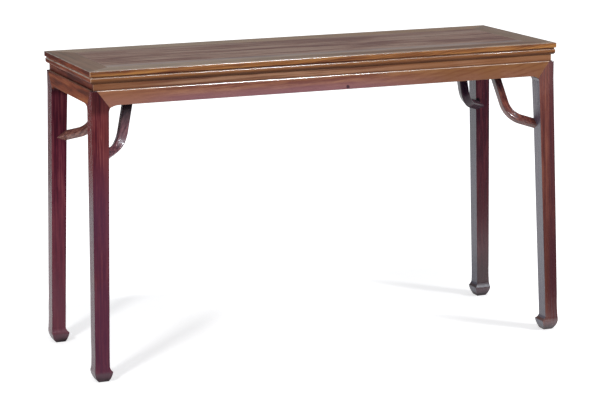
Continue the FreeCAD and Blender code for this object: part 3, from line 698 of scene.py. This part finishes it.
def isArris(edge):
    return (len(edge.link_faces) == 2 and edge.is_convex
            and edge.calc_length() > meshSet["shortestArris"]
            and edge.calc_face_angle(0.0) > meshSet["arrisTurn"])


def isOuter(edge):
    # a long arris on the outside of the frame or the aprons
    middle = (edge.verts[0].co + edge.verts[1].co) / 2
    return edge.calc_length() > meshSet["longArris"] and (
        abs(middle.x) > meshSet["outerX"] or abs(middle.y) > meshSet["outerY"])


def refinePiece(name, values):
    node, slotName = values["node"], values["slot"]
    shape = bmesh.new()
    shape.from_mesh(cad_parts[node].data)
    bmesh.ops.remove_doubles(shape, verts=shape.verts, dist=meshSet["mergeReach"])
    bmesh.ops.dissolve_limit(shape, angle_limit=meshSet["flatTurn"], verts=shape.verts,
                             edges=shape.edges, use_dissolve_boundaries=False)
    outerEase, otherEase = values["ease"]
    widest = max(outerEase, otherEase)
    if widest:
        weight = shape.edges.layers.float.new("bevel_weight_edge")
        for edge in shape.edges:
            if isArris(edge):
                edge[weight] = (outerEase if isOuter(edge) else otherEase) / widest
    mesh = bpy.data.meshes.new(name)
    shape.to_mesh(mesh)
    shape.free()
    mesh.shade_smooth()
    mesh.set_sharp_from_angle(angle=meshSet["smoothTurn"])
    mesh.materials.append(woodMaterial(name + "Wood", values))
    piece = bpy.data.objects.new(name, mesh)
    scene.collection.objects.link(piece)
    if widest:
        eased = piece.modifiers.new("easedArrises", "BEVEL")
        eased.limit_method = "WEIGHT"
        eased.width = widest
        eased.segments = meshSet["easeSegments"]
        eased.use_clamp_overlap = False
    weighted = piece.modifiers.new("flatFaces", "WEIGHTED_NORMAL")
    weighted.keep_sharp = True
    weighted.weight = meshSet["flatWeight"]
    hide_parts(node)
    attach(piece, "root")


for pieceName, pieceValues in pieces.items():
    refinePiece(pieceName, pieceValues)
print("pieces refined:", len(pieces))

# floor, lamps and surroundings
studioSet = {
    "floorHalf": 40.0, "floorDrop": -0.0004, "floorShade": 0.80, "floorRough": 0.9,
    # light that the floor gives off by itself, in the shadows beside the feet and elsewhere
    "nearLift": 0.54, "farLift": 1.0,
    "middleLeft": (-0.30, 0.25), "middleRight": (0.56, 0.20),
    "beyondSides": (0.69, 0.75), "depthMiddle": 0.16, "beyondDepth": (0.44, 0.60),
    "dome": (0.30, 0.31, 0.33, 1.0), "white": (1.0, 1.0, 1.0, 1.0),
    "aim": (0.0, 0.0, 0.55),
    "lamps": {
        "keyLamp": {"place": (1.5, -4.2, 2.1), "size": 0.9, "power": 100.0, "floor": "EXCLUDE"},
        "leftLamp": {"place": (-3.2, -2.9, 2.6), "size": 0.6, "power": 62.0},
        "rightLamp": {"place": (3.2, -2.9, 2.6), "size": 0.6, "power": 50.0},
        # these two light nothing but the floor and deepen the shadows of the legs
        "leftFloorLamp": {
            "place": (-3.2, -2.9, 2.6), "size": 0.6, "power": 36.0, "floor": "INCLUDE"},
        "rightFloorLamp": {
            "place": (3.2, -2.9, 2.6), "size": 0.6, "power": 30.0, "floor": "INCLUDE"},
    },
    # walls of the room that only show as reflections: low corner, high corner, brightness
    "wallColour": (0.82, 0.92, 1.0, 1.0),
    "walls": {
        "leftBackWall": ((-5.0, 2.6, 0.0), (-1.2, 2.6, 2.4), 0.05),
        "rightBackWall": ((-1.2, 3.2, 0.45), (7.0, 3.2, 4.0), 0.34),
        "frontWall": ((-2.0, -3.4, 0.0), (7.0, -3.4, 1.1), 0.12),
        "lowFrontWall": ((-3.0, -0.45, 0.0), (5.0, -0.45, 0.65), 0.05),
        # only the rounded arrises mirror this softbox
        "softBox": ((1.33, -4.2, 5.0), (1.86, -1.4, 5.0), 260.0),
    },
}


def shownRay(tree):
    # one for rays from the camera and for those seen in gloss or glass
    rays = addNode(tree, "ShaderNodeLightPath").outputs
    seen = calc(tree, "MAXIMUM", rays["Is Camera Ray"], rays["Is Glossy Ray"])
    return calc(tree, "MAXIMUM", seen, rays["Is Transmission Ray"])


def stageObject(name, shape, materialName):
    mesh = bpy.data.meshes.new(name)
    shape.to_mesh(mesh)
    shape.free()
    stagePiece = bpy.data.objects.new(name, mesh)
    scene.collection.objects.link(stagePiece)
    material = bpy.data.materials.new(materialName)
    material.use_nodes = True
    material.node_tree.nodes.clear()
    mesh.materials.append(material)
    return stagePiece, material.node_tree


def makeFloor(values):
    shape = bmesh.new()
    bmesh.ops.create_grid(shape, x_segments=1, y_segments=1, size=values["floorHalf"])
    bmesh.ops.translate(shape, verts=shape.verts, vec=(0.0, 0.0, values["floorDrop"]))
    floor, tree = stageObject("studioFloor", shape, "floorPaper")
    parts = split(tree, addNode(tree, "ShaderNodeTexCoord").outputs["Object"])
    # shadows show beside the feet and die away towards the middle and outside
    middle = calc(tree, "MINIMUM", ramp(tree, parts["X"], *values["middleLeft"]),
                  ramp(tree, parts["X"], *values["middleRight"]))
    aside = calc(tree, "ABSOLUTE", parts["X"])
    behind = calc(tree, "ABSOLUTE", calc(tree, "SUBTRACT", parts["Y"], values["depthMiddle"]))
    beyond = calc(tree, "MAXIMUM", ramp(tree, aside, *values["beyondSides"]),
                  ramp(tree, behind, *values["beyondDepth"]))
    lift = calc(tree, "MULTIPLY_ADD", calc(tree, "MAXIMUM", middle, beyond),
                values["farLift"] - values["nearLift"], values["nearLift"])
    shade = values["floorShade"]
    shader = addNode(tree, "ShaderNodeBsdfPrincipled", {
        "Base Color": (shade, shade, shade, 1.0), "Roughness": values["floorRough"],
        "Specular IOR Level": 0.0, "Emission Color": values["white"],
        "Emission Strength": times(tree, shownRay(tree), lift)})
    addNode(tree, "ShaderNodeOutputMaterial", {"Surface": shader.outputs[0]})
    return floor


def makeLamp(name, values, aim, floor):
    lampData = bpy.data.lights.new(name, "AREA")
    lampData.shape = "DISK"
    lampData.size = values["size"]
    lampData.energy = values["power"]
    lamp = bpy.data.objects.new(name, lampData)
    scene.collection.objects.link(lamp)
    lamp.location = values["place"]
    lamp.visible_glossy = False           # the walls and the softbox make the reflections
    lamp.rotation_mode = "QUATERNION"
    lamp.rotation_quaternion = (Vector(aim) - Vector(values["place"])).to_track_quat("-Z", "Y")
    if "floor" in values:
        reach = bpy.data.collections.new(name + "Reach")
        reach.objects.link(floor)
        reach.collection_objects[0].light_linking.link_state = values["floor"]
        lamp.light_linking.receiver_collection = reach


def makeWall(name, low, high, brightness, colour):
    shape = bmesh.new()
    shape.faces.new([shape.verts.new(place) for place in (
        low, (high[0], low[1], low[2]), high, (low[0], high[1], high[2]))])
    wall, tree = stageObject(name, shape, name + "Paint")
    paint = addNode(tree, "ShaderNodeEmission", {"Color": colour, "Strength": brightness})
    addNode(tree, "ShaderNodeOutputMaterial", {"Surface": paint.outputs[0]})
    for kind in ("camera", "diffuse", "transmission", "volume_scatter", "shadow"):
        setattr(wall, "visible_" + kind, False)


def makeWorld(values):
    world = bpy.data.worlds.new("studioDome")
    scene.world = world
    world.use_nodes = True
    tree = world.node_tree
    tree.nodes.clear()
    colour = mix(tree, shownRay(tree), values["dome"], values["white"])
    background = addNode(tree, "ShaderNodeBackground", {"Color": colour})
    addNode(tree, "ShaderNodeOutputWorld", {"Surface": background.outputs[0]})


studioFloor = makeFloor(studioSet)
for lampName, lampValues in studioSet["lamps"].items():
    makeLamp(lampName, lampValues, studioSet["aim"], studioFloor)
for wallName, (wallLow, wallHigh, brightness) in studioSet["walls"].items():
    makeWall(wallName, wallLow, wallHigh, brightness, studioSet["wallColour"])
makeWorld(studioSet)
print("studio ready")
